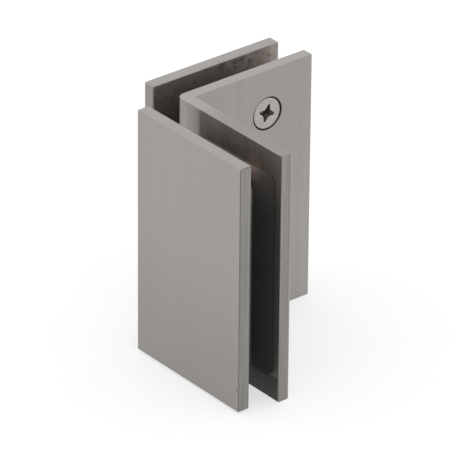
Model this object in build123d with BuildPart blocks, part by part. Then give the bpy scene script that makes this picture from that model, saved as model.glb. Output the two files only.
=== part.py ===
from build123d import *
import os

# Glass-to-glass bracket: clamps two panes that meet at a right angle.
# An inner angle stands inside the corner and a flat plate lies outside each pane.
# The angle's two outer faces meet at the corner line. The front leg runs from it along +X
# and the rear leg along +Y. +Z is up.
# The origin is on the floor, in the middle of the bracket's square plan.
# All sizes are in millimetres and all angles in degrees.

# The panes, and the soft pads on both sides of each
glass_thickness = 8.0
pad_thickness = 1.3

# Inner angle
angle_leg = 53.6
angle_height = 90.4
angle_thickness = 4.3
bend_outer_radius = 2.5
bend_inner_radius = 1.0
angle_edge_radius = 0.4  # down the legs' free ends
angle_end_chamfer = 0.25  # round the top and bottom

# Outer plates
plate_width = 52.8
plate_height = 88.9
plate_thickness = 4.5
plate_reach = 1.2  # how far a plate runs past the corner line
plate_corner_radius = 0.6
plate_edge_chamfer = 0.3  # round both faces

# Screws, two through each leg
screw_from_corner = 34.8
screw_end_margin = 15.3  # from a screw's axis to the end of the clamped height
thread_diameter = 6.0
thread_engagement = 8.15
head_diameter = 11.0
head_sink = 0.35  # how far the head lies under the leg's face
head_land = 0.25  # the straight edge round the head
recess_width = 6.6
recess_wing = 1.3
recess_fillet = 1.5
recess_depth = 3.0
recess_slope = 26.5
recess_turns = {"front_upper": 40, "front_lower": 65, "rear_upper": -18, "rear_lower": 10}

# Threaded bosses on the plates' backs, one round each screw
boss_diameter = 9.0
boss_gap = 2.0  # from a boss's end to the angle
tap_runout = 1.2

# Plastic sleeves between the bosses and the holes in the panes and pads
sleeve_wall = 0.9

# Pads
pad_start = 13.6  # from the corner line to a pad's near edge
pad_side_margin = 1.0
pad_end_margin = 8.2
pad_corner_radius = 2.0

# Clearances
seat_clearance = 0.03
thread_clearance = 0.05
shank_clearance = 0.3
sleeve_clearance = 0.1
sleeve_end_clearance = 0.2
pad_hole_clearance = 0.25

# Sizes that follow from those above
slot_width = glass_thickness + 2 * pad_thickness
clamped_height = min(angle_height, plate_height)
screw_pitch = clamped_height - 2 * screw_end_margin
plate_end = plate_width - plate_reach
thread_radius = thread_diameter / 2
head_radius = head_diameter / 2
countersink_radius = head_radius + head_sink + head_land + seat_clearance
boss_radius = boss_diameter / 2
tapped_radius = thread_radius + thread_clearance
tapped_depth = thread_engagement + tap_runout
sleeve_bore = boss_radius + sleeve_clearance
sleeve_radius = sleeve_bore + sleeve_wall
pad_end = min(angle_leg, plate_end) - pad_side_margin
pad_width = pad_end - pad_start
pad_height = clamped_height - 2 * pad_end_margin
pad_hole_radius = sleeve_radius + pad_hole_clearance

# The corner line's place in the plan, and half way up
plan_near = -(slot_width + plate_thickness)
plan_far = max(angle_leg, plate_end)
corner = -(plan_near + plan_far) / 2
mid_height = max(angle_height, plate_height) / 2

# Each leg's outer face, with X along the leg from the corner line and Z out through the pane.
# Every piece is alike above and below the middle height, so it doesn't matter which way Y runs.
leg_faces = {
    "front": Plane(origin=(corner, corner, mid_height), x_dir=(1, 0, 0), z_dir=(0, -1, 0)),
    "rear": Plane(origin=(corner, corner, mid_height), x_dir=(0, 1, 0), z_dir=(-1, 0, 0)),
}
screw_levels = {"upper": screw_pitch / 2, "lower": -screw_pitch / 2}


def screw_plane(side, level, out):
    """Plane across one screw, this far out from its leg's outer face, facing back inside."""
    face = leg_faces[side]
    on_face = face.from_local_coords(Vector(screw_from_corner, 0, out))
    origin = on_face + Vector(0, 0, screw_levels[level])
    return Plane(origin=origin, x_dir=face.x_dir, z_dir=-face.z_dir)


def screw_planes(side, out):
    """The planes across both screws of one leg."""
    return [screw_plane(side, level, out) for level in screw_levels]


def make_angle():
    """Inner angle: two legs and a bend, with two countersunk holes in each leg."""
    foot = Plane(origin=(corner, corner, mid_height - angle_height / 2))
    with BuildPart() as angle:
        with BuildSketch(foot) as profile:
            with BuildLine():
                Polyline(
                    (0, 0),
                    (angle_leg, 0),
                    (angle_leg, angle_thickness),
                    (angle_thickness, angle_thickness),
                    (angle_thickness, angle_leg),
                    (0, angle_leg),
                    close=True,
                )
            make_face()
            # The bend's outer corner is nearest the corner line, its inner corner comes next,
            # and the legs' ends are furthest away. They are chosen again after each fillet.
            fillet(profile.vertices().sort_by_distance((0, 0, 0))[-4:], radius=angle_edge_radius)
            fillet(profile.vertices().sort_by_distance((0, 0, 0))[1], radius=bend_inner_radius)
            fillet(profile.vertices().sort_by_distance((0, 0, 0))[0], radius=bend_outer_radius)
        extrude(amount=angle_height)
        ends = angle.faces().filter_by(Axis.Z)
        chamfer(ends.edges(), length=angle_end_chamfer)
        for side in leg_faces:
            with Locations(*screw_planes(side, -angle_thickness)):
                CounterSinkHole(
                    radius=thread_radius + shank_clearance,
                    counter_sink_radius=countersink_radius,
                    depth=angle_thickness,
                    counter_sink_angle=90,
                )
    return angle.part


def make_plate(side):
    """Outer plate: a plain face outside, two bosses with blind threads on its back."""
    back = leg_faces[side].offset(slot_width)
    with BuildPart() as plate:
        with BuildSketch(back):
            with Locations((plate_end - plate_width / 2, 0)):
                RectangleRounded(plate_width, plate_height, plate_corner_radius)
        extrude(amount=plate_thickness)
        flats = plate.faces().filter_by(back)
        chamfer(flats.edges(), length=plate_edge_chamfer)
        with BuildSketch(*screw_planes(side, slot_width)):
            Circle(boss_radius)
        extrude(amount=slot_width - boss_gap)
        with Locations(*screw_planes(side, boss_gap)):
            Hole(tapped_radius, depth=tapped_depth)
    return plate.part


def make_pad(side, out):
    """Soft pad on a clamping face, this far out, with a hole round each sleeve."""
    seat = leg_faces[side].offset(out)
    with BuildPart() as pad:
        with BuildSketch(seat):
            with Locations((pad_start + pad_width / 2, 0)):
                RectangleRounded(pad_width, pad_height, pad_corner_radius)
        extrude(amount=pad_thickness)
        with Locations(*screw_planes(side, out)):
            Hole(pad_hole_radius, depth=2 * pad_thickness)
    return pad.part


def make_recess(top, turn):
    """The cross-shaped hollow in a screw's head: four wings that slope in towards the bottom."""
    with BuildPart() as recess:
        with BuildSketch(top) as cross:
            for wing in (0, 90):
                Rectangle(recess_width, recess_wing, rotation=turn + wing)
            inner = cross.vertices().sort_by_distance((0, 0, 0))[:4]
            fillet(inner, radius=recess_fillet)
        extrude(amount=-recess_depth)
        with BuildSketch(top):
            Circle(recess_width / 2)
        extrude(amount=-recess_depth, taper=recess_slope, mode=Mode.INTERSECT)
    return recess.part


def make_screw(side, level):
    """Countersunk screw, seated in the angle and reaching into the plate's boss."""
    seat = screw_plane(side, level, -angle_thickness)
    lengthways = Plane(origin=seat.origin, x_dir=seat.x_dir, z_dir=seat.y_dir)
    cone_start = head_sink + head_land
    cone_end = cone_start + head_radius - thread_radius
    tip = angle_thickness + boss_gap + thread_engagement
    recess = make_recess(seat.offset(-head_sink), recess_turns[f"{side}_{level}"])
    with BuildPart() as screw:
        with BuildSketch(lengthways):
            with BuildLine():
                Polyline(
                    (0, head_sink),
                    (head_radius, head_sink),
                    (head_radius, cone_start),
                    (thread_radius, cone_end),
                    (thread_radius, tip),
                    (0, tip),
                    close=True,
                )
            make_face()
        revolve(axis=Axis(seat.origin, seat.z_dir))
        add(recess, mode=Mode.SUBTRACT)
    return screw.part


def make_sleeve(side, level):
    """Plastic sleeve round a boss, from the angle to the plate."""
    near_end = screw_plane(side, level, sleeve_end_clearance)
    with BuildPart() as sleeve:
        with BuildSketch(near_end):
            Circle(sleeve_radius)
            Circle(sleeve_bore, mode=Mode.SUBTRACT)
        extrude(amount=-(slot_width - 2 * sleeve_end_clearance))
    return sleeve.part


pieces = {"angle_bracket": make_angle()}
for side in leg_faces:
    pieces[f"{side}_plate"] = make_plate(side)
    pieces[f"{side}_angle_pad"] = make_pad(side, 0)
    pieces[f"{side}_plate_pad"] = make_pad(side, slot_width - pad_thickness)
    for level in screw_levels:
        pieces[f"{side}_{level}_screw"] = make_screw(side, level)
        pieces[f"{side}_{level}_sleeve"] = make_sleeve(side, level)

os.makedirs("parts", exist_ok=True)
for name, piece in pieces.items():
    piece.label = name
    export_step(piece, f"parts/{name}.step")
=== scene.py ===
"""Looks of a right-angle glass clamp: its finishes, its turned and moulded pieces, and the studio.

The inner angle and the two outer plates are shown as they are, each with a satin nickel finish.
The screws, the sleeves and the pads are modelled here, with their threads, recesses and soft edges.
"""

import logging
import math
from dataclasses import dataclass
from enum import Enum
from typing import ClassVar

import bmesh
import bpy
from bmesh.types import BMEdge, BMesh, BMFace, BMVert
from bpy.types import Material, Node, NodeOutputs, NodeSocket, NodeTree, Object
from mathutils import Matrix, Vector


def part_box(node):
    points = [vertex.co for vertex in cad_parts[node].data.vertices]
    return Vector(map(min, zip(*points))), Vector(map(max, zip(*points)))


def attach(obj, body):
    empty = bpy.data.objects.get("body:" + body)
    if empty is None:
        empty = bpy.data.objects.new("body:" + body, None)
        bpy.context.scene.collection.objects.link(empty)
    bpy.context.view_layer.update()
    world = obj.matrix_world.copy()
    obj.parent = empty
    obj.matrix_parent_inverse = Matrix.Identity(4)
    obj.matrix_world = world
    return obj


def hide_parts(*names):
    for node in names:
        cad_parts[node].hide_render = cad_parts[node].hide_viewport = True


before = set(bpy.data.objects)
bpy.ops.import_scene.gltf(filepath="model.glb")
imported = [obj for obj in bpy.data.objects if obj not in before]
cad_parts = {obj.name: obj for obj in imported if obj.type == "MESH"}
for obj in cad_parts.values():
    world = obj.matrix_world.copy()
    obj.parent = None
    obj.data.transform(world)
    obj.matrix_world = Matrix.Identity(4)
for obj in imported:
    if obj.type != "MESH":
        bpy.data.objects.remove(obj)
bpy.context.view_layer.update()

log = logging.getLogger("glass_clamp")

MM = 0.001
BODY = "root"
WELD = 0.001 * MM
ORIGIN = (0.0, 0.0, 0.0)
WHITE = (1.0, 1.0, 1.0)
ALONG_X = Vector((1, 0, 0))
ALONG_Y = Vector((0, 1, 0))
UP = Vector((0, 0, 1))
TO_CORNER = Vector((-1, -1, 0))

# The numbers of a Mix node's two values and of its result, by the kind of its data
MIX_SOCKETS = {"FLOAT": (2, 3, 0), "RGBA": (6, 7, 2)}

Colour = tuple[float, float, float]

# The start and end of a soft change, or a relief's strength and depth
Pair = tuple[float, float]


class Side(Enum):
    """The two legs of the corner, each with its own directions."""

    FRONT = "front"
    REAR = "rear"

    @property
    def along(self) -> Vector:
        """From the corner to the free end."""
        return ALONG_X if self is Side.FRONT else ALONG_Y

    @property
    def inside(self) -> Vector:
        """Out of the leg's inner face, into the hollow of the corner."""
        return ALONG_Y if self is Side.FRONT else ALONG_X

    @property
    def across(self) -> Vector:
        """Up or down the leg, whichever makes the set right-handed."""
        return self.inside.cross(self.along)

    def matrix(self, origin: Vector) -> Matrix:
        """The frame at a point of the part, with X along, Y across and Z inside."""
        turned = Matrix((self.along, self.across, self.inside)).transposed()
        return Matrix.Translation(origin) @ turned.to_4x4()


class Level(Enum):
    """The two screws of one leg."""

    UPPER = "upper"
    LOWER = "lower"


class Seat(Enum):
    """What a pad lies on."""

    ANGLE = "angle"
    PLATE = "plate"


def is_level(edge: BMEdge) -> bool:
    """Whether both ends of an edge are equally high."""
    return abs(edge.verts[0].co.z - edge.verts[1].co.z) < WELD


def spin(mesh: BMesh, geom: list, angle: float, steps: int, cent: Vector | tuple = ORIGIN,
         **settings: object) -> dict:
    """Spin geometry round an upright axis."""
    return bmesh.ops.spin(mesh, geom=geom, cent=cent, axis=UP, angle=angle, steps=steps, **settings)


def soften(mesh: BMesh, geom: list, radius: float, segments: int = 3, affect: str = "EDGES") -> None:
    """Round edges, or the corners of a flat face."""
    bmesh.ops.bevel(mesh, geom=geom, offset=radius, segments=segments, profile=0.5, affect=affect,
                    material=-1)


def finished_object(name: str, mesh: BMesh, sharp_angle: float) -> Object:
    """Turn a finished bmesh into an object at the origin.

    Args:
        name: The piece's name.
        mesh: The bmesh, already in the part's frame. It is freed here.
        sharp_angle: Edges that turn more than this, in degrees, stay sharp.

    Returns:
        The linked object.
    """
    bmesh.ops.remove_doubles(mesh, verts=mesh.verts, dist=WELD)
    bmesh.ops.recalc_face_normals(mesh, faces=mesh.faces)
    data = bpy.data.meshes.new(name)
    mesh.to_mesh(data)
    mesh.free()
    data.shade_smooth()
    data.set_sharp_from_angle(angle=math.radians(sharp_angle))
    piece = bpy.data.objects.new(name, data)
    bpy.context.scene.collection.objects.link(piece)
    return piece


def stand_in(piece: Object, node: str, slot: str, *finishes: Material) -> None:
    """Dress a new piece and let it stand for a node.

    Args:
        piece: The new piece's object.
        node: The node that it stands for.
        slot: The record's material slot. It is not used.
        finishes: The piece's finishes, in the order of its faces' numbers.
    """
    for finish in finishes:
        piece.data.materials.append(finish)
    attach(piece, BODY)
    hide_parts(node)
    log.info("%s stands for %s, with %d faces", piece.name, node, len(piece.data.polygons))


class Graph:
    """A short way to add and link nodes in one tree."""

    def __init__(self, tree: NodeTree) -> None:
        """Start on a tree."""
        self.tree = tree

    def feed(self, node: Node, inputs: dict) -> None:
        """Set a node's inputs. Every colour is opaque.

        Args:
            node: The node.
            inputs: A value, or the socket that feeds it, for each named or numbered input.
        """
        for key, value in inputs.items():
            entry = node.inputs[key]
            if isinstance(value, NodeSocket):
                self.tree.links.new(value, entry)
            else:
                entry.default_value = (*value, 1.0) if entry.type == "RGBA" else value

    def add(self, kind: str, inputs: dict | None = None, **settings: object) -> Node:
        """Add one node.

        Args:
            kind: The node's type, as in ShaderNodeMath.
            inputs: What goes into its inputs, as feed takes it.
            settings: Properties of the node, such as operation.

        Returns:
            The node.
        """
        node = self.tree.nodes.new(kind)
        for key, value in settings.items():
            setattr(node, key, value)
        self.feed(node, inputs or {})
        return node

    def use(self, group: NodeTree, inputs: dict) -> NodeOutputs:
        """The outputs of a new node that holds a group."""
        return self.add("ShaderNodeGroup", inputs, node_tree=group).outputs

    def maths(self, operation: str, *values: object) -> NodeSocket:
        """The output of one Math node."""
        return self.add("ShaderNodeMath", dict(enumerate(values)), operation=operation).outputs[0]

    def about_zero(self, inputs: dict) -> NodeSocket:
        """The value of a new noise texture, from -1 to 1."""
        noise = self.add("ShaderNodeTexNoise", inputs).outputs["Fac"]
        return self.maths("MULTIPLY_ADD", noise, 2.0, -1.0)

    def tint(self, share: object, low: object, high: object) -> NodeSocket:
        """A colour between two, by a share from 0 to 1."""
        return self._mix("RGBA", share, low, high)

    def times(self, colour: object, share: object) -> NodeSocket:
        """A colour, made brighter or darker by a number."""
        grey = self.add("ShaderNodeCombineColor", {0: share, 1: share, 2: share}).outputs[0]
        return self._mix("RGBA", 1.0, colour, grey, blend_type="MULTIPLY")

    def between(self, share: object, low: object, high: object) -> NodeSocket:
        """A number between two, by a share from 0 to 1."""
        return self._mix("FLOAT", share, low, high)

    def rise(self, value: object, start: object, end: object) -> NodeSocket:
        """0 where the value is at start, 1 where it is at end, and smooth between them."""
        inputs = {"Value": value, "From Min": start, "From Max": end}
        return self.add("ShaderNodeMapRange", inputs, interpolation_type="SMOOTHSTEP").outputs[0]

    def _mix(self, data: str, share: object, low: object, high: object, **settings: object) -> NodeSocket:
        """The result of a Mix node for one kind of data."""
        first, second, result = MIX_SOCKETS[data]
        return self.add("ShaderNodeMix", {0: share, first: low, second: high}, data_type=data,
                        **settings).outputs[result]


@dataclass
class EffectGroup(Graph):
    """A shader node group in the making, with its named inputs and outputs. Vector comes first."""

    name: str
    inputs: dict
    outputs: tuple[str, ...] = ("Mask",)

    def __post_init__(self) -> None:
        """Make the tree and its sockets. A triple makes a vector input, and a number a plain one."""
        self.tree = bpy.data.node_groups.new(self.name, "ShaderNodeTree")
        for key, default in {"Vector": ORIGIN, **self.inputs}.items():
            kind = "NodeSocketVector" if isinstance(default, tuple) else "NodeSocketFloat"
            made = self.tree.interface.new_socket(name=key, in_out="INPUT", socket_type=kind)
            made.default_value = default
        for key in self.outputs:
            self.tree.interface.new_socket(name=key, in_out="OUTPUT", socket_type="NodeSocketFloat")
        self.entry = self.tree.nodes.new("NodeGroupInput").outputs
        self.exit = self.tree.nodes.new("NodeGroupOutput")

    def close(self, **results: NodeSocket) -> NodeTree:
        """Link the results to the outputs and hand over the tree."""
        self.feed(self.exit, results)
        return self.tree


class SurfaceEffects:
    """The effects that several finishes share, each built once as a node group."""

    def __init__(self) -> None:
        """Build the groups."""
        self.brushing = self._brushing()
        self.patches = self._patches()
        self.past = self._past()
        self.spot = self._spot()

    def _brushing(self) -> NodeTree:
        """Upright brushing: fine lines, broad soft bands and an even fine grain, all about 0.

        Returns:
            The group.
        """
        sockets = {"Across": 1500.0, "Along": 20.0, "Band share": 0.13, "Grain scale": 2500.0}
        group = EffectGroup("Upright brushing", sockets, ("Lines", "Bands", "Grain"))
        entry = group.entry
        stretch = {0: entry["Across"], 1: entry["Across"], 2: entry["Along"]}
        scale = group.add("ShaderNodeCombineXYZ", stretch).outputs[0]
        fine = group.add("ShaderNodeVectorMath", {0: entry["Vector"], 1: scale}, operation="MULTIPLY")
        widened = {0: fine.outputs[0], 3: entry["Band share"]}
        broad = group.add("ShaderNodeVectorMath", widened, operation="SCALE")
        noises = {
            "Lines": {"Vector": fine.outputs[0], "Scale": 1.0, "Detail": 3.0, "Roughness": 0.7},
            "Bands": {"Vector": broad.outputs[0], "Scale": 1.0, "Detail": 2.0, "Roughness": 0.6},
            "Grain": {"Vector": entry["Vector"], "Scale": entry["Grain scale"], "Detail": 2.0},
        }
        return group.close(**{key: group.about_zero(inputs) for key, inputs in noises.items()})

    def _patches(self) -> NodeTree:
        """Uneven cloudy patches, from 0 to 1.

        Returns:
            The group.
        """
        group = EffectGroup("Cloudy patches", {"Scale": 100.0, "Low": 0.4, "High": 0.6})
        entry = group.entry
        inputs = {"Vector": entry["Vector"], "Scale": entry["Scale"], "Detail": 4.0, "Roughness": 0.6,
                  "Distortion": 0.4}
        noise = group.add("ShaderNodeTexNoise", inputs).outputs["Fac"]
        return group.close(Mask=group.rise(noise, entry["Low"], entry["High"]))

    def _past(self) -> NodeTree:
        """How far a point is past a plane: 0 before Start and 1 after End, along Direction.

        Returns:
            The group.
        """
        group = EffectGroup("Past a plane", {"Direction": (1.0, 0.0, 0.0), "Start": 0.0, "End": 0.001})
        entry = group.entry
        product = {0: entry["Vector"], 1: entry["Direction"]}
        along = group.add("ShaderNodeVectorMath", product, operation="DOT_PRODUCT")
        return group.close(Mask=group.rise(along.outputs["Value"], entry["Start"], entry["End"]))

    def _spot(self) -> NodeTree:
        """A spot: 1 within Core of Centre, and 0 from Radius outwards. Ragged makes it uneven.

        Returns:
            The group.
        """
        group = EffectGroup("Round spot", {"Centre": ORIGIN, "Core": 0.0, "Radius": 0.001, "Ragged": 0.0})
        entry = group.entry
        ends = {0: entry["Vector"], 1: entry["Centre"]}
        away = group.add("ShaderNodeVectorMath", ends, operation="DISTANCE").outputs["Value"]
        noise = group.about_zero({"Vector": entry["Vector"], "Scale": 800.0, "Detail": 2.0})
        uneven = group.maths("MULTIPLY_ADD", noise, entry["Ragged"], away)
        return group.close(Mask=group.rise(uneven, entry["Radius"], entry["Core"]))


class Finish(Graph):
    """A material in the making: its graph, its Principled shader and its Object coordinates."""

    def __init__(self, name: str, effects: SurfaceEffects) -> None:
        """Start a material.

        Args:
            name: The material's name.
            effects: The shared node groups.
        """
        self.material = bpy.data.materials.new(name)
        self.material.use_nodes = True
        super().__init__(self.material.node_tree)
        self.effects = effects
        self.shader = self.tree.nodes["Principled BSDF"]
        self.place = self.add("ShaderNodeTexCoord").outputs["Object"]

    def wear(self, height: NodeSocket, strength: float, depth: float) -> None:
        """Give the surface a fine relief.

        Args:
            height: The relief's height, from 0 to 1.
            strength: How strongly it shows, from 0 to 1.
            depth: How deep it is, in metres.
        """
        inputs = {"Height": height, "Strength": strength, "Distance": depth}
        self.feed(self.shader, {"Normal": self.add("ShaderNodeBump", inputs).outputs["Normal"]})


@dataclass(frozen=True)
class Clouds:
    """Uneven patches of one size, which fade in between two values of their noise."""

    scale: float
    low: float
    high: float

    def mask(self, finish: Finish) -> NodeSocket:
        """A mask that is 1 within the patches."""
        inputs = {"Vector": finish.place, "Scale": self.scale, "Low": self.low, "High": self.high}
        return finish.use(finish.effects.patches, inputs)["Mask"]


@dataclass(frozen=True)
class Beyond:
    """All that lies past a plane. The edge is soft from start to end."""

    direction: Vector
    start: float
    end: float

    def mask(self, finish: Finish) -> NodeSocket:
        """A mask that is 1 there."""
        inputs = {"Vector": finish.place, "Direction": self.direction, "Start": self.start, "End": self.end}
        return finish.use(finish.effects.past, inputs)["Mask"]


@dataclass(frozen=True)
class Round:
    """All that lies near a point. The edge is soft from core to radius, and may be ragged."""

    centre: Vector
    core: float
    radius: float
    ragged: float = 0.0

    def mask(self, finish: Finish) -> NodeSocket:
        """A mask that is 1 there."""
        inputs = {"Vector": finish.place, "Centre": self.centre, "Core": self.core,
                  "Radius": self.radius, "Ragged": self.ragged}
        return finish.use(finish.effects.spot, inputs)["Mask"]


@dataclass(frozen=True)
class Overlap:
    """All that lies in two places at once."""

    first: "Place"
    second: "Place"

    def mask(self, finish: Finish) -> NodeSocket:
        """A mask that is 1 there."""
        masks = (self.first.mask(finish), self.second.mask(finish))
        return finish.maths("MULTIPLY", *masks)


Place = Beyond | Round | Overlap

# A painted brownish highlight near the top of the front slot, on the leg and on its pad
BROWN_HIGHLIGHT = Round(Vector((20.6, -19.0, 81.2)) * MM, 1.0 * MM, 6.0 * MM, 1.5 * MM)


@dataclass(frozen=True)
class MetalFace:
    """How one kind of face on the plated metal looks.

    The lines and bands of the brushing and a fine grain lighten and darken it, and stains darken it
    in patches. Each is a share of its brightness.
    """

    colour: Colour
    roughness: float
    lines: float = 0.05
    bands: float = 0.05
    grain: float = 0.05
    stains: float = 0.0


class Face(MetalFace, Enum):
    """The kinds of face on the plated metal, each with its look."""

    OUTSIDE = (0.343, 0.326, 0.310), 0.32, 0.03, 0.03, 0.04
    # Painted shade: darker towards the foot, for the shadowed floor that the lower faces reflect
    SHADED_FOOT = (0.306, 0.290, 0.276), 0.32, 0.03, 0.03, 0.04
    HOLLOW = (0.350, 0.332, 0.316), 0.32, 0.06, 0.08, 0.08
    # Painted shade: the hollow's faces darker towards the top
    SHADED_HOLLOW_TOP = (0.326, 0.309, 0.293), 0.32, 0.06, 0.08, 0.08
    PLATE_END = (0.232, 0.225, 0.213), 0.42, 0.40, 0.30, 0.50
    # Painted light: the plates' free ends lighter towards the top
    LIT_PLATE_END_TOP = (0.262, 0.252, 0.240), 0.42, 0.40, 0.30, 0.50
    # Painted light: the plates' corner ends lighter than their free ends
    LIT_CORNER_END = (0.305, 0.292, 0.280), 0.42, 0.30, 0.25, 0.15
    LEG_END = (0.272, 0.260, 0.247), 0.42, 0.50, 0.15, 0.50
    # Painted shade: a dark line along the plates' free-end edges and the legs' rounded outer free-end edges
    EDGE = (0.18, 0.173, 0.165), 0.42
    # Painted shade: the plates' eased top outer edge, darker to put out its highlight
    SHADED_EASED = (0.318, 0.302, 0.288), 0.36
    # Painted highlight: a lighter line on the rounded inner edge at each leg's end
    INNER_ROUND_HIGHLIGHT = (0.395, 0.376, 0.357), 0.36
    # Painted light: the tops lighter, as light from above; their coarser grain and lines are the finish's
    # own
    LIT_PLATE_TOP = (0.388, 0.370, 0.352), 0.40, 0.07, 0.03, 0.20
    LIT_LEG_TOP = (0.412, 0.392, 0.372), 0.40, 0.07, 0.03, 0.20
    # The front leg's top, darker from 6 to 24 mm past the corner outwards
    DARKER_FRONT_TOP = (0.326, 0.310, 0.293), 0.40, 0.07, 0.03, 0.20
    PLATE_BACK = (0.405, 0.354, 0.322), 0.55, 0.04, 0.05, 0.15, 0.25
    BARE_BACK = (0.33, 0.287, 0.260), 0.55, 0.04, 0.05, 0.15, 0.25
    # Partly a duller finish and partly painted shade: the legs' outer faces in the slots
    DULL_SHADED_LEG_BACK = (0.272, 0.249, 0.224), 0.65, 0.10, 0.10, 0.40, 0.15
    # Painted shade: the strip past each angle pad's free end, dark below the slot's top
    SHADED_PAD_MARGIN = (0.19, 0.180, 0.166), 0.6, 0.08, 0.08, 0.10
    # Painted shade: the legs' outer faces below the pads, dark for the shadowed slot floor that they
    # reflect
    SLOT_FOOT_SHADE = (0.085, 0.081, 0.075), 0.6, 0.08, 0.08, 0.10
    BEND = (0.292, 0.275, 0.256), 0.3, 0.25, 0.30, 0.15
    # Painted shade: the countersinks near black, for the shade in the gap round each head
    SHADED_COUNTERSINK = (0.035, 0.033, 0.031), 0.5
    # Painted highlight: a lighter brownish patch on the leg near the top of the front slot
    BROWN_HIGHLIGHT = (0.40, 0.315, 0.27), 0.65, 0.08, 0.08, 0.20
    PIT = (0.11, 0.105, 0.10), 0.6
    BLOTCH = (0.23, 0.195, 0.17), 0.6


# Each kind of face, with the places where it lies. A later kind covers an earlier one.
Areas = list[tuple[Face, list[Place]]]


@dataclass(frozen=True)
class SatinNickel:
    """Satin nickel plating on brass: brushed upright outside, duller where it is cut or hidden. Some kinds
    of face carry painted light or shade.
    """

    stained: Clouds = Clouds(500.0, 0.42, 0.68)
    rough_swing: float = 0.03
    relief: Pair = (0.12, 0.01 * MM)

    def material(self, name: str, effects: SurfaceEffects, areas: Areas) -> Material:
        """Build the material.

        Args:
            name: The material's name.
            effects: The shared node groups.
            areas: The kinds of face on it, besides the plain outside.

        Returns:
            The material.
        """
        finish = Finish(name, effects)
        keys = ("roughness", "lines", "bands", "grain", "stains")
        colour: object = Face.OUTSIDE.colour
        numbers = {key: getattr(Face.OUTSIDE, key) for key in keys}
        for face, places in areas:
            share = places[0].mask(finish)
            for place in places[1:]:
                share = finish.maths("MAXIMUM", share, place.mask(finish))
            colour = finish.tint(share, colour, face.colour)
            numbers = {key: finish.between(share, numbers[key], getattr(face, key)) for key in keys}
        brushing = finish.use(effects.brushing, {"Vector": finish.place})
        stained = self.stained.mask(finish)
        tone = finish.maths("MULTIPLY_ADD", brushing["Lines"], numbers["lines"], 1.0)
        tone = finish.maths("MULTIPLY_ADD", brushing["Bands"], numbers["bands"], tone)
        tone = finish.maths("MULTIPLY_ADD", brushing["Grain"], numbers["grain"], tone)
        clean = finish.maths("SUBTRACT", 1.0, finish.maths("MULTIPLY", stained, numbers["stains"]))
        toned = finish.times(colour, finish.maths("MULTIPLY", tone, clean))
        rough = finish.maths("MULTIPLY_ADD", brushing["Lines"], self.rough_swing, numbers["roughness"])
        finish.feed(finish.shader, {"Base Color": toned, "Roughness": rough, "Metallic": 1.0})
        from_zero = finish.maths("MULTIPLY_ADD", brushing["Lines"], 0.5, 0.5)
        finish.wear(from_zero, *self.relief)
        return finish.material


@dataclass(frozen=True)
class PatchyFinish:
    """A finish of one colour, with patches of a second one, which are duller.

    The patches stand out a little too, unless the surface is grained. Uniform holds further values
    for the shader.
    """

    name: str
    colour: Colour
    patchy: Colour
    patches: Clouds
    roughness: Pair
    relief: Pair
    uniform: tuple = ()
    grained: Clouds | None = None

    def material(self, effects: SurfaceEffects) -> Material:
        """Build the material.

        Args:
            effects: The shared node groups.

        Returns:
            The material.
        """
        finish = Finish(self.name, effects)
        share = self.patches.mask(finish)
        rough = finish.between(share, *self.roughness)
        colour = self._toned(finish, share)
        finish.feed(finish.shader, {"Base Color": colour, "Roughness": rough, **dict(self.uniform)})
        finish.wear(self.grained.mask(finish) if self.grained else share, *self.relief)
        return finish.material

    def _toned(self, finish: Finish, share: NodeSocket) -> NodeSocket:
        """The colour, and the patches' own by their share."""
        return finish.tint(share, self.colour, self.patchy)


@dataclass(frozen=True)
class BrightPlating(PatchyFinish):
    """Bright plating on a screw, with the dull speckle that tumbling leaves."""

    name: str = "bright_plating"
    colour: Colour = (0.37, 0.357, 0.341)
    patchy: Colour = (0.33, 0.316, 0.30)
    patches: Clouds = Clouds(1500.0, 0.45, 0.75)
    roughness: Pair = (0.28, 0.45)
    relief: Pair = (0.3, 0.02 * MM)
    uniform: tuple = (("Metallic", 1.0),)
    bright: Colour = (0.44, 0.425, 0.408)
    clouded: Clouds = Clouds(700.0, 0.35, 0.65)

    def _toned(self, finish: Finish, share: NodeSocket) -> NodeSocket:
        """The speckle by its share, on plating that is brighter in broad patches."""
        ground = finish.tint(self.clouded.mask(finish), self.colour, self.bright)
        return finish.tint(share, ground, self.patchy)


@dataclass(frozen=True)
class ShadedRecessInside(PatchyFinish):
    """The inside of a punched recess, painted dark as the shade in it, with darker cloudy patches."""

    name: str = "shaded_punched_hollow"
    colour: Colour = (0.23, 0.215, 0.20)
    patchy: Colour = (0.07, 0.062, 0.055)
    patches: Clouds = Clouds(1100.0, 0.35, 0.6)
    roughness: Pair = (0.4, 0.6)
    relief: Pair = (0.3, 0.03 * MM)
    uniform: tuple = (("Metallic", 0.6),)


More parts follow.
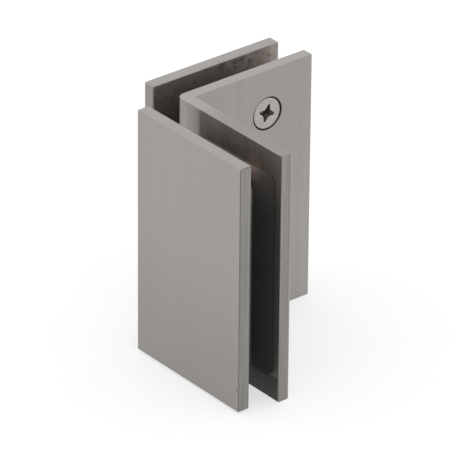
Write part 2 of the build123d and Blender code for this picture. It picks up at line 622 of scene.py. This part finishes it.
@dataclass(frozen=True)
class SheetRubber(PatchyFinish):
    """Dark gasket sheet with a fine grain and some dust. Its top is painted lighter, as light that falls in
    from above, and it has a painted brownish highlight.

    It is painted paler towards the corner than at its free end, as light that lifts the shade there.
    """

    name: str = "gasket_sheet"
    colour: Colour = (0.039, 0.0375, 0.035)
    patchy: Colour = (0.046, 0.044, 0.041)
    patches: Clouds = Clouds(180.0, 0.4, 0.75)
    roughness: Pair = (0.8, 0.92)
    relief: Pair = (0.4, 0.03 * MM)
    uniform: tuple = (("Specular IOR Level", 0.3),)
    grained: Clouds = Clouds(2600.0, 0.3, 0.7)
    # Painted light at the top of the pads, where light falls in
    painted_top_light: Colour = (0.084, 0.074, 0.068)
    # The painted brownish highlight on the pad
    brown_highlight: Colour = (0.19, 0.14, 0.118)
    painted_top_light_span: Pair = (66.0 * MM, 84.0 * MM)
    # Painted light towards the corner, lifting the shade deep in the slot
    painted_corner_light: Pair = (-11.5 * MM, 2.0 * MM)
    painted_corner_light_share: Pair = (0.83, 2.2)

    def _toned(self, finish: Finish, share: NodeSocket) -> NodeSocket:
        """Add the painted light at the top, the painted brownish highlight, and the painted light towards
        the corner.

        Args:
            finish: The material in the making.
            share: The share of the dust.

        Returns:
            The colour with all of that.
        """
        colour = super()._toned(finish, share)
        # Painted light at the top
        top = Beyond(UP, *self.painted_top_light_span).mask(finish)
        colour = finish.tint(top, colour, self.painted_top_light)
        # Painted brownish highlight
        colour = finish.tint(BROWN_HIGHLIGHT.mask(finish), colour, self.brown_highlight)
        # Painted light towards the corner
        painted_corner_light = Beyond(TO_CORNER, *self.painted_corner_light).mask(finish)
        return finish.times(colour, finish.between(painted_corner_light, *self.painted_corner_light_share))


@dataclass(frozen=True)
class ShadedCutRubber(SheetRubber):
    """The sheet's cut edges, painted blacker than its faces as shade that hides the light rim on them."""

    name: str = "gasket_cut_edge_shaded"
    colour: Colour = (0.025, 0.024, 0.0225)
    patchy: Colour = (0.028, 0.027, 0.0255)
    # Fainter painted light at the top and fainter painted highlight on the cut edges
    painted_top_light: Colour = (0.062, 0.057, 0.052)
    brown_highlight: Colour = (0.10, 0.075, 0.063)


@dataclass(frozen=True)
class MouldedNylon(PatchyFinish):
    """Dark moulded nylon, slightly cloudy, with a little light inside it."""

    name: str = "moulded_nylon"
    colour: Colour = (0.035, 0.035, 0.036)
    patchy: Colour = (0.05, 0.05, 0.051)
    patches: Clouds = Clouds(420.0, 0.35, 0.7)
    roughness: Pair = (0.4, 0.52)
    relief: Pair = (0.15, 0.02 * MM)
    uniform: tuple = (("Subsurface Weight", 0.05), ("Subsurface Radius", (0.4 * MM, 0.4 * MM, 0.4 * MM)))


@dataclass
class CrossRecess:
    """The cross-shaped hollow in a screw's head, with sloping wings and a shallow point."""

    span: float = 6.4 * MM
    tip_width: float = 0.8 * MM
    taper: float = 18.0
    inner_radius: float = 1.9 * MM
    depth: float = 3.0 * MM
    point_depth: float = 0.35 * MM
    slope: float = 26.5
    point_share: float = 0.3
    mouth: float = 0.06 * MM
    tip_steps: int = 2
    arc_steps: int = 6

    def outline(self, mesh: BMesh) -> list[BMEdge]:
        """Draw the mouth's outline at the top of the head: one quarter, and then the rest by spinning.

        Args:
            mesh: The empty bmesh to draw in.

        Returns:
            The edges of the closed outline.
        """
        half, reach = self.tip_width / 2, self.span / 2
        tip = math.asin(half / reach)
        taper = math.radians(self.taper)
        run_start = Vector((reach * math.cos(tip), half, 0))
        flank = Vector((math.sin(taper), math.cos(taper), 0))
        shoulder = (run_start.dot(flank) + self.inner_radius) / (flank.x + flank.y)
        centre = Vector((shoulder, shoulder, 0))
        arcs = [
            (None, ORIGIN, tip, self.tip_steps),
            (centre - flank * self.inner_radius, centre, 2 * taper - math.pi / 2, self.arc_steps),
            (run_start.yxz, ORIGIN, tip, self.tip_steps),
        ]
        last = mesh.verts.new((reach, 0, 0))
        for line_end, middle, angle, steps in arcs:
            if line_end:
                last = bmesh.ops.extrude_vert_indiv(mesh, verts=[last])["verts"][0]
                last.co = line_end
            swept = spin(mesh, [last], angle, steps, middle)
            last = next(v for v in swept["geom_last"] if isinstance(v, BMVert))
        quarter = list(mesh.verts) + list(mesh.edges)
        spin(mesh, quarter, math.tau * 3 / 4, 3, use_duplicate=True)
        bmesh.ops.remove_doubles(mesh, verts=mesh.verts, dist=WELD)
        return list(mesh.edges)

    def sink(self, mesh: BMesh, floor: BMFace, number: int) -> None:
        """Sink the outline's face into the head.

        Args:
            mesh: The bmesh that holds the face.
            floor: The face across the outline, which ends as the bottom of the recess.
            number: The number of the finish that the hollow gets.
        """
        reach = self.span / 2
        wall = self.depth - self.point_depth
        bottom = 1 - wall * math.tan(math.radians(self.slope)) / reach
        point = (self.depth, self.point_share * bottom)
        steps = [(self.mouth, 1 - self.mouth / reach), (wall, bottom), point]
        level, size = 0.0, 1.0
        for deep, share in steps:
            made = bmesh.ops.extrude_face_region(mesh, geom=[floor])["geom"]
            mesh.faces.remove(floor)
            floor = next(f for f in made if isinstance(f, BMFace))
            bmesh.ops.scale(mesh, vec=(share / size, share / size, 1), verts=floor.verts)
            bmesh.ops.translate(mesh, vec=(0, 0, level - deep), verts=floor.verts)
            if level > 0:
                for face in {f for v in floor.verts for f in v.link_faces}:
                    face.material_index = number
            level, size = deep, share


@dataclass
class NewPiece:
    """A piece that is modelled here and stands for a node of the solids.

    Kind and made are the last words of the node's name and of the piece's own.
    """

    side: Side
    which: Level | Seat
    kind: ClassVar[str]
    made: ClassVar[str]
    sharp_angle: ClassVar[float] = 35.0

    @property
    def node(self) -> str:
        """The node that it stands for."""
        return f"{self.side.value}_{self.which.value}_{self.kind}"

    @property
    def middle(self) -> Vector:
        """The middle of the node's box."""
        low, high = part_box(self.node)
        return (low + high) / 2

    @property
    def size(self) -> Vector:
        """The size of the node's box."""
        low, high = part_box(self.node)
        return high - low

    def placed(self, mesh: BMesh, matrix: Matrix) -> Object:
        """Move the finished mesh to its place, and make it the piece's object."""
        bmesh.ops.transform(mesh, matrix=matrix, verts=mesh.verts)
        return finished_object(f"{self.node}_{self.made}", mesh, self.sharp_angle)


@dataclass
class ClampScrew(NewPiece):
    """Countersunk machine screw with a cross recess and a rolled thread.

    It is built with its head's flat at the origin, its head facing +Z and its tip on -Z.
    """

    kind = "screw"
    made = "threaded"
    turn: float
    head_land: float = 0.25 * MM
    rim_radius: float = 0.1 * MM
    thread_radius: float = 3.0 * MM
    core_radius: float = 2.46 * MM
    pitch: float = 1.0 * MM
    plain_shank: float = 2.0 * MM
    tip_chamfer: float = 0.6 * MM
    crest_flat: float = 0.13 * MM
    foot_share: float = 0.46
    foot_sink: float = 0.15 * MM
    fade_in: float = 1.2
    fade_out: float = 1.1
    fade_depth: float = 0.3 * MM
    tip_gap: float = 0.05 * MM
    around: int = 64
    thread_steps: int = 28

    @property
    def head_flat(self) -> Vector:
        """The middle of the head's flat."""
        inside = self.side.inside
        return self.middle + inside * (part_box(self.node)[1] - self.middle).dot(inside)

    def build(self) -> Object:
        """Model the screw.

        Returns:
            The linked object.
        """
        head = self.size.z / 2
        length = max(self.size.x, self.size.y)
        mesh = bmesh.new()
        recess = CrossRecess()
        outline = recess.outline(mesh)
        rim = self._turn_body(mesh, head, length)
        floor = bmesh.ops.contextual_create(mesh, geom=outline)["faces"][0]
        bmesh.ops.triangle_fill(mesh, use_beauty=True, edges=rim + outline, normal=UP)
        recess.sink(mesh, floor, 1)
        self._roll_thread(mesh, head, length)
        turned = Matrix.Rotation(math.radians(self.turn), 4, "Z")
        return self.placed(mesh, self.side.matrix(self.head_flat) @ turned)

    def _turn_body(self, mesh: BMesh, head: float, length: float) -> list[BMEdge]:
        """Turn the head, shank and core.

        Args:
            mesh: The bmesh to build in.
            head: The head's radius.
            length: From the head's flat to the tip.

        Returns:
            The edges of the open circle round the head's flat.
        """
        cone_end = -self.head_land - (head - self.thread_radius)
        shank_end = cone_end - self.plain_shank
        core = self.core_radius
        profile = [
            (head - self.rim_radius, 0),
            (head, -self.rim_radius),
            (head, -self.head_land),
            (self.thread_radius, cone_end),
            (self.thread_radius, shank_end),
            (core, shank_end - (self.thread_radius - core)),
            (core, self.tip_chamfer - length),
            (core - self.tip_chamfer, -length),
            (0, -length),
        ]
        verts = [mesh.verts.new((r, 0, z)) for r, z in profile]
        edges = [mesh.edges.new(pair) for pair in zip(verts, verts[1:])]
        spin(mesh, verts + edges, math.tau, self.around, use_merge=True)
        bmesh.ops.remove_doubles(mesh, verts=[v for v in mesh.verts if v.co.z < -WELD], dist=WELD)
        return [e for e in mesh.edges if e.is_boundary]

    def _roll_thread(self, mesh: BMesh, head: float, length: float) -> None:
        """Sweep the thread's ridge down the core as a closed helix that dies out at both ends.

        Args:
            mesh: The bmesh to build in.
            head: The head's radius.
            length: From the head's flat to the tip.
        """
        start = -self.head_land - (head - self.thread_radius) - self.plain_shank
        turns = math.floor((length + start - self.tip_chamfer / 2) / self.pitch)
        sunk = self.core_radius - self.foot_sink
        foot, crest = self.foot_share * self.pitch, self.crest_flat / 2
        middle = start - self.pitch / 2
        section = [(sunk, middle + foot), (self.thread_radius, middle + crest),
                   (self.thread_radius, middle - crest), (sunk, middle - foot)]
        before = set(mesh.verts)
        face = mesh.faces.new([mesh.verts.new((r, 0, z)) for r, z in section])
        spin(mesh, [face, *face.edges, *face.verts], math.tau * turns, turns * self.thread_steps,
             dvec=(0, 0, -self.pitch / self.thread_steps))
        for vert in [v for v in mesh.verts if v not in before]:
            radius = vert.co.xy.length
            growing = sunk + (start + self.pitch / 2 - vert.co.z) * self.fade_in
            dying = self.core_radius - self.tip_chamfer + (vert.co.z + length) * self.fade_out
            share = min(1.0, max(min(growing, dying), sunk - self.fade_depth) / radius)
            vert.co.x *= share
            vert.co.y *= share
            vert.co.z = max(vert.co.z, self.tip_gap - length)


@dataclass
class BossSleeve(NewPiece):
    """Moulded tube that keeps a plate's boss off the edge of the hole in the glass."""

    kind = "sleeve"
    made = "moulded"
    bore: float = 9.2 * MM
    lip_radius: float = 0.22 * MM
    around: int = 72

    def build(self) -> Object:
        """Model the sleeve: a spun wall with rounded lips.

        Returns:
            The linked object.
        """
        outer = self.size.z / 2
        half = min(self.size.x, self.size.y) / 2
        inner = self.bore / 2
        mesh = bmesh.new()
        section = [(inner, -half), (outer, -half), (outer, half), (inner, half)]
        corners = [mesh.verts.new((r, 0, z)) for r, z in section]
        sides = [mesh.edges.new(pair) for pair in zip(corners, corners[1:] + corners[:1])]
        spin(mesh, corners + sides, math.tau, self.around, use_merge=True)
        bmesh.ops.remove_doubles(mesh, verts=mesh.verts, dist=WELD)
        lips = [e for e in mesh.edges if is_level(e)
                and abs(e.verts[0].co.xy.length - e.verts[1].co.xy.length) < WELD]
        soften(mesh, lips, self.lip_radius)
        return self.placed(mesh, self.side.matrix(self.middle))


@dataclass
class ClampPad(NewPiece):
    """Gasket between the metal and the glass, cut from sheet, with softly rounded edges."""

    kind = "pad"
    made = "sheet"
    sharp_angle = 40.0
    corner_radius: float = 2.0 * MM
    hole: float = 11.5 * MM
    edge_radius: float = 0.06 * MM
    rim_angle: float = 60.0
    flat_angle: float = 1.0
    cut_slant: float = 0.98
    around: int = 64
    corner_steps: int = 8

    def build(self) -> Object:
        """Model the pad: a sheet with rounded corners and two holes, given its thickness.

        Returns:
            The linked object.
        """
        side, size = self.side, self.size
        thick = size.dot(side.inside)
        mesh = bmesh.new()
        spread = Matrix.Diagonal((size.dot(side.along) / 2, size.z / 2, 1, 1))
        # Four points round a circle, turned by an eighth, are the corners of a square
        corners = bmesh.ops.create_circle(mesh, segments=4, radius=math.sqrt(2),
                                          matrix=spread @ Matrix.Rotation(math.pi / 4, 4, "Z"))["verts"]
        bmesh.ops.contextual_create(mesh, geom=corners)
        soften(mesh, corners, self.corner_radius, self.corner_steps, "VERTICES")
        bmesh.ops.delete(mesh, geom=list(mesh.faces), context="FACES_ONLY")
        for level in Level:
            centre = BossSleeve(side, level).middle - self.middle
            flat = Vector((centre.dot(side.along), centre.dot(side.across), 0))
            bmesh.ops.create_circle(mesh, segments=self.around, radius=self.hole / 2,
                                    matrix=Matrix.Translation(flat))
        bmesh.ops.triangle_fill(mesh, use_beauty=True, edges=mesh.edges, normal=UP)
        flat_angle, rim_angle = math.radians(self.flat_angle), math.radians(self.rim_angle)
        bmesh.ops.dissolve_limit(mesh, angle_limit=flat_angle, verts=[], edges=mesh.edges)
        made = bmesh.ops.extrude_face_region(mesh, geom=list(mesh.faces))["geom"]
        lifted = [v for v in made if isinstance(v, BMVert)]
        bmesh.ops.translate(mesh, vec=(0, 0, thick), verts=lifted)
        bmesh.ops.translate(mesh, vec=(0, 0, -thick / 2), verts=mesh.verts)
        bmesh.ops.recalc_face_normals(mesh, faces=mesh.faces)
        rims = [e for e in mesh.edges if is_level(e) and e.calc_face_angle(0) > rim_angle]
        soften(mesh, rims, self.edge_radius)
        for face in mesh.faces:
            face.normal_update()
            face.material_index = int(abs(face.normal.z) < self.cut_slant)
        return self.placed(mesh, side.matrix(self.middle))


@dataclass(frozen=True)
class Mark:
    """A small round mark on a face, along it from its corner side and down from its top, in mm."""

    along: float
    down: float
    radius: float
    ragged: float = 0.0

    def place(self, start: Vector, along: Vector) -> Round:
        """Where it lies on a face with this upper corner. Its edge fades over half of its radius."""
        middle = start + (along * self.along - UP * self.down) * MM
        return Round(middle, self.radius / 2 * MM, self.radius * MM, self.ragged * MM)


@dataclass
class ClampMetal:
    """The finish of the inner angle and the outer plates, kind of face by kind of face.

    Foot and margin_foot are measured downwards, so they are negative.
    """

    effects: SurfaceEffects
    nickel: SatinNickel
    skin: float = 0.04 * MM
    blur: float = 0.06 * MM
    chamfer: float = 0.28 * MM
    bend_reach: float = 11.95 * MM
    # Where the painted shade towards the foot fades in, measured downwards
    foot: Pair = (-62.0 * MM, -10.0 * MM)
    hollow_top: Pair = (20.0 * MM, 75.0 * MM)
    end_top: Pair = (50.0 * MM, 86.0 * MM)
    margin_lap: float = 2.0 * MM
    margin_foot: Pair = (-80.0 * MM, -68.0 * MM)
    head_sink: float = 0.35 * MM
    mouth_radius: float = 6.03 * MM
    edge_round: float = 0.4 * MM
    bare_start: Pair = (0.45, 0.7)
    bare_end: Pair = (0.75, 0.95)
    darker_front_top_span: Pair = (5.975 * MM, 23.9 * MM)
    plate_pit: Mark = Mark(51.85, 80.95, 0.45)
    back_blotches: tuple[Mark, ...] = (
        Mark(28.4, 1.8, 1.9, 2.0),
        Mark(34.2, 1.9, 1.3, 1.6),
        Mark(34.0, 3.4, 1.1, 1.4),
        Mark(37.0, 1.7, 1.5, 2.0),
        Mark(40.65, 3.2, 1.2, 1.6),
        Mark(48.35, 3.3, 0.9, 0.4),
    )
    hollow_nick: Mark = Mark(29.35, 12.8, 0.35)

    def dress(self, screws: list[ClampScrew]) -> None:
        """Give the angle and the plates their finish.

        Args:
            screws: The screws that stand in the angle's countersinks.
        """
        nodes = {"angle_bracket": self._angle_areas(screws)}
        nodes |= {f"{side.value}_plate": self._plate_areas(side) for side in Side}
        for node, areas in nodes.items():
            material = self.nickel.material(f"satin_nickel_{node}", self.effects, areas)
            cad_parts[node].material_slots[0].material = material
            log.info("%s has the finish %s", node, material.name)

    def _angle_areas(self, screws: list[ClampScrew]) -> Areas:
        """The kinds of face on the angle.

        Args:
            screws: The screws that stand in its countersinks.

        Returns:
            The areas.
        """
        low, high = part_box("angle_bracket")
        mouths = [screw.head_flat + screw.side.inside * self.head_sink for screw in screws]
        # The first screw's mouth lies on the front leg's inner face, and the last one's on the rear leg's
        inner = Vector((mouths[-1].x, mouths[0].y, high.z))
        hollow = Overlap(Beyond(ALONG_X, inner.x - self.blur, inner.x - self.skin),
                         Beyond(ALONG_Y, inner.y - self.blur, inner.y - self.skin))
        rounds = [Overlap(self._under(side.along, high, self.edge_round),
                          self._under(side.inside, inner, self.edge_round)) for side in Side]
        top = self._under(UP, high)
        along_front = Beyond(ALONG_X, *(low.x + away for away in self.darker_front_top_span))
        backs = [area for side in Side for area in self._leg_back_areas(side)]
        radius = self.mouth_radius
        return [
            (Face.HOLLOW, [hollow]),
            # Painted shade towards the top of the hollow
            (Face.SHADED_HOLLOW_TOP, [Overlap(hollow, Beyond(UP, *self.hollow_top))]),
            *backs,
            (Face.LEG_END, [self._under(side.along, high) for side in Side]),
            # Painted highlight on the inner roundings
            (Face.INNER_ROUND_HIGHLIGHT, rounds),
            (Face.PLATE_END, [self._under(-UP, low)]),
            # Painted light on the legs' tops
            (Face.LIT_LEG_TOP, [top]),
            # The front leg's top, darker away from the corner
            (Face.DARKER_FRONT_TOP, [Overlap(top, along_front)]),
            (Face.PIT, [self.hollow_nick.place(inner, ALONG_Y)]),
            # Painted shade in the countersinks
            (Face.SHADED_COUNTERSINK, [Round(at, radius - self.blur, radius) for at in mouths]),
        ]

    def _leg_back_areas(self, side: Side) -> Areas:
        """The kinds of face on one leg's outer side, which lies in the slot.

        Args:
            side: The leg.

        Returns:
            The areas.
        """
        low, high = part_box("angle_bracket")
        pad_low, pad_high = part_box(ClampPad(side, Seat.ANGLE).node)
        back = self._under(-side.inside, low)
        edge = (low + side.along * self.bend_reach).dot(TO_CORNER)
        free = pad_high.dot(side.along)
        # Painted shade past the pad's free end, below the slot's top
        margin = Overlap(Beyond(side.along, free - self.margin_lap, free),
                         Beyond(-UP, *self.margin_foot))
        # Painted shade below the pad, for the dark slot floor reflected there
        foot = Beyond(-UP, -pad_low.z - self.blur, -pad_low.z + self.blur)
        rounded = Overlap(self._under(side.along, high, self.edge_round),
                          self._under(-side.inside, low, self.edge_round))
        return [
            # Duller finish with painted shade of the slot
            (Face.DULL_SHADED_LEG_BACK, [back]),
            (Face.SHADED_PAD_MARGIN, [Overlap(back, margin)]),
            (Face.SLOT_FOOT_SHADE, [Overlap(back, foot)]),
            # Painted brownish highlight on the leg
            (Face.BROWN_HIGHLIGHT, [Overlap(back, BROWN_HIGHLIGHT)]),
            # Painted shade on the rounded edge at the leg's free end
            (Face.EDGE, [rounded]),
            (Face.BEND, [Overlap(back, Beyond(TO_CORNER, edge - self.blur, edge))]),
        ]

    def _plate_areas(self, side: Side) -> Areas:
        """The kinds of face on one plate.

        Args:
            side: The leg that it belongs to.

        Returns:
            The areas.
        """
        low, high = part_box(f"{side.value}_plate")
        pad_low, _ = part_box(ClampPad(side, Seat.PLATE).node)
        middle = (low + high).dot(side.along) / 2
        reach = (high - low).dot(side.along) / 2
        back = self._under(side.inside, pad_low)
        start, full = (middle + share * reach for share in self.bare_start)
        fading, gone = (middle + share * reach for share in self.bare_end)
        bare = Overlap(Beyond(side.along, start, full), Beyond(-side.along, -gone, -fading))
        end = self._under(side.along, high)
        eased = Overlap(self._under(-side.inside, low, self.chamfer), self._under(UP, high, self.chamfer))
        outside_start = Vector((low.x, low.y, high.z))
        back_start = outside_start + side.inside * (pad_low - low).dot(side.inside)
        if side is Side.FRONT:
            marks = (Face.PIT, [self.plate_pit.place(outside_start, side.along)])
        else:
            marks = (Face.BLOTCH, [mark.place(back_start, side.along) for mark in self.back_blotches])
        return [
            # Painted shade towards the foot
            (Face.SHADED_FOOT, [Beyond(-UP, *self.foot)]),
            (Face.PLATE_BACK, [back]),
            (Face.BARE_BACK, [Overlap(back, bare)]),
            # Painted shade along the free end's edges
            (Face.EDGE, [self._under(side.along, high, self.chamfer)]),
            # Painted shade on the eased top edge
            (Face.SHADED_EASED, [eased]),
            (Face.PLATE_END, [end, self._under(-UP, low)]),
            # Painted light towards the top of the free end
            (Face.LIT_PLATE_END_TOP, [Overlap(end, Beyond(UP, *self.end_top))]),
            # Painted light on the corner end
            (Face.LIT_CORNER_END, [self._under(-side.along, low)]),
            # Painted light on the plate's top
            (Face.LIT_PLATE_TOP, [self._under(UP, high)]),
            marks,
        ]

    def _under(self, direction: Vector, corner: Vector, depth: float | None = None) -> Beyond:
        """All that lies past a plane just under the face that a box's corner lies on."""
        end = corner.dot(direction) - (self.skin if depth is None else depth)
        return Beyond(direction, end - self.blur, end)


class Bracket:
    """The whole clamp: its metal, its screws, its sleeves and its pads."""

    def __init__(self) -> None:
        """Name the pieces, with how far each screw happens to be turned."""
        self.screws = [
            ClampScrew(Side.FRONT, Level.UPPER, 40.0),
            ClampScrew(Side.FRONT, Level.LOWER, 65.0),
            ClampScrew(Side.REAR, Level.UPPER, -18.0),
            ClampScrew(Side.REAR, Level.LOWER, 10.0),
        ]
        self.sleeves = [BossSleeve(side, level) for side in Side for level in Level]
        self.pads = [ClampPad(side, seat) for side in Side for seat in Seat]

    def build(self) -> None:
        """Dress the metal, and model and place the rest."""
        effects = SurfaceEffects()
        ClampMetal(effects, SatinNickel()).dress(self.screws)
        plated = [finish.material(effects) for finish in (BrightPlating(), ShadedRecessInside())]
        nylon = MouldedNylon().material(effects)
        rubber = [finish.material(effects) for finish in (SheetRubber(), ShadedCutRubber())]
        for screw in self.screws:
            stand_in(screw.build(), screw.node, "screw_steel", *plated)
        for sleeve in self.sleeves:
            stand_in(sleeve.build(), sleeve.node, "sleeve_plastic", nylon)
        for pad in self.pads:
            piece = pad.build()
            stand_in(piece, pad.node, "pad_rubber", *rubber)


@dataclass(frozen=True)
class Lamp:
    """A large soft square lamp: its place and its side in metres, and its power in watts."""

    name: str
    place: tuple
    size: float
    power: float


@dataclass
class Studio:
    """A pale floor, soft light and the camera at the photograph's angle."""

    floor_size: float = 3.0
    floor_colour: Colour = (0.42, 0.42, 0.42)
    floor_glow: float = 0.61
    lamps: tuple[Lamp, ...] = (
        Lamp("key", (-1.1, -1.7, 2.2), 2.6, 6.0),
        Lamp("fill", (2.0, 0.4, 1.6), 2.0, 2.0),
    )
    picture: float = 450.0
    sensor: float = 36.0
    focal_pixels: float = 5261.8
    azimuth: float = 50.846
    elevation: float = 28.659
    roll: float = 0.481
    distance: float = 1718.694 * MM
    centre: tuple = (0.75 * MM, 0.75 * MM, 45.0 * MM)
    slide_right: float = -12.058 * MM
    slide_up: float = -0.42 * MM

    def build(self) -> None:
        """Set up the floor, the light and the camera."""
        self._floor()
        self._sky()
        for lamp in self.lamps:
            self._light(lamp)
        self._camera()
        bpy.context.scene.view_settings.view_transform = "Standard"

    def _floor(self) -> None:
        """A pale floor that keeps the object's shadow, and reads as white where a ray sees it."""
        mesh = bmesh.new()
        bmesh.ops.create_grid(mesh, x_segments=1, y_segments=1, size=self.floor_size / 2)
        floor = finished_object("floor", mesh, NewPiece.sharp_angle)
        material = bpy.data.materials.new("pale_floor")
        material.use_nodes = True
        material.node_tree.nodes.clear()
        graph = Graph(material.node_tree)
        matt = graph.add("ShaderNodeBsdfDiffuse", {"Color": self.floor_colour}).outputs[0]
        path = graph.add("ShaderNodeLightPath").outputs
        seen = graph.maths("MAXIMUM", path["Is Camera Ray"], path["Is Glossy Ray"])
        seen = graph.maths("MAXIMUM", seen, path["Is Transmission Ray"])
        glow = graph.maths("MULTIPLY", seen, self.floor_glow)
        light = graph.add("ShaderNodeEmission", {"Color": WHITE, "Strength": glow}).outputs[0]
        both = graph.add("ShaderNodeAddShader", {0: matt, 1: light}).outputs[0]
        graph.add("ShaderNodeOutputMaterial", {"Surface": both})
        floor.data.materials.append(material)

    def _sky(self) -> None:
        """A plain white surround."""
        world = bpy.data.worlds.new("surround")
        bpy.context.scene.world = world
        world.use_nodes = True
        background = world.node_tree.nodes["Background"]
        Graph(world.node_tree).feed(background, {"Color": WHITE, "Strength": 1.0})

    def _light(self, lamp: Lamp) -> None:
        """Place a lamp that looks at the object.

        Args:
            lamp: The lamp.
        """
        data = bpy.data.lights.new(lamp.name, "AREA")
        data.shape = "SQUARE"
        data.size = lamp.size
        data.energy = lamp.power
        made = bpy.data.objects.new(lamp.name, data)
        towards = (Vector(self.centre) - Vector(lamp.place)).to_track_quat("-Z", "Y").to_matrix().to_4x4()
        made.matrix_world = Matrix.Translation(lamp.place) @ towards
        bpy.context.scene.collection.objects.link(made)

    def _camera(self) -> None:
        """The camera that was fitted to the photograph."""
        angles = (self.azimuth, self.elevation, self.roll)
        azimuth, elevation, roll = (math.radians(angle) for angle in angles)
        level = Vector((math.cos(azimuth), math.sin(azimuth), 0))
        back = level.cross(UP) * math.cos(elevation) + UP * math.sin(elevation)
        upright = back.cross(level)
        right = math.cos(roll) * level + math.sin(roll) * upright
        up = math.cos(roll) * upright - math.sin(roll) * level
        place = Vector(self.centre) + back * self.distance + right * self.slide_right + up * self.slide_up
        data = bpy.data.cameras.new("camera")
        data.sensor_width = self.sensor
        data.lens = self.focal_pixels / self.picture * self.sensor
        camera = bpy.data.objects.new("camera", data)
        turned = Matrix((right, up, back)).transposed().to_4x4()
        camera.matrix_world = Matrix.Translation(place) @ turned
        bpy.context.scene.collection.objects.link(camera)
        bpy.context.scene.camera = camera


def main() -> None:
    """Build the bracket and its studio."""
    logging.basicConfig(level=logging.INFO, format="%(message)s")
    Bracket().build()
    Studio().build()


if __name__ == "__main__":
    main()
